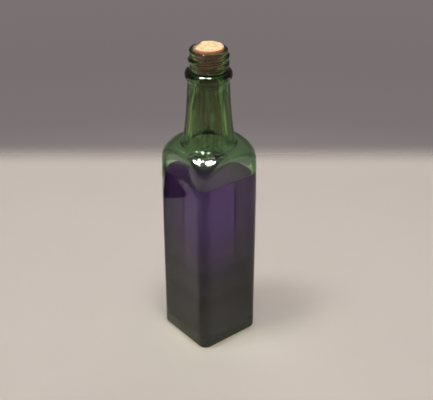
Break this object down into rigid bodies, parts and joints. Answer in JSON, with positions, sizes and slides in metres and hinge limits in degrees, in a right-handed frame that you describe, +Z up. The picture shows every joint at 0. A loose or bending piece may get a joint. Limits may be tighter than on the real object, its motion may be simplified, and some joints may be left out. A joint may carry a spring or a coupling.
{
  "type": "polish bottle",
  "caption": "Square green glass bottle with a round threaded neck, a pull-out tapered cork and dark liquid inside.",
  "frame": {"origin": "centre of the base, on the plane the bottle stands on", "axes": "+Z up along the neck; the flat sides face +X, -X, +Y and -Y"},
  "size_m": [0.047, 0.047, 0.206],
  "materials": {
    "green_glass": "clear olive-green glass, slightly wavy",
    "purple_liquid": "dark purple liquid",
    "cork": "dry natural cork"
  },
  "bodies": {
    "bottle": {"glass_bottle": "green_glass", "liquid_polish": "purple_liquid"},
    "cork": {"cork_stopper": "cork"}
  },
  "joints": [
    {"name": "cork_pull", "type": "slide", "parent": "bottle", "child": "cork", "axis": [0, 0, 1], "range_m": [0, 0.04]}
  ]
}
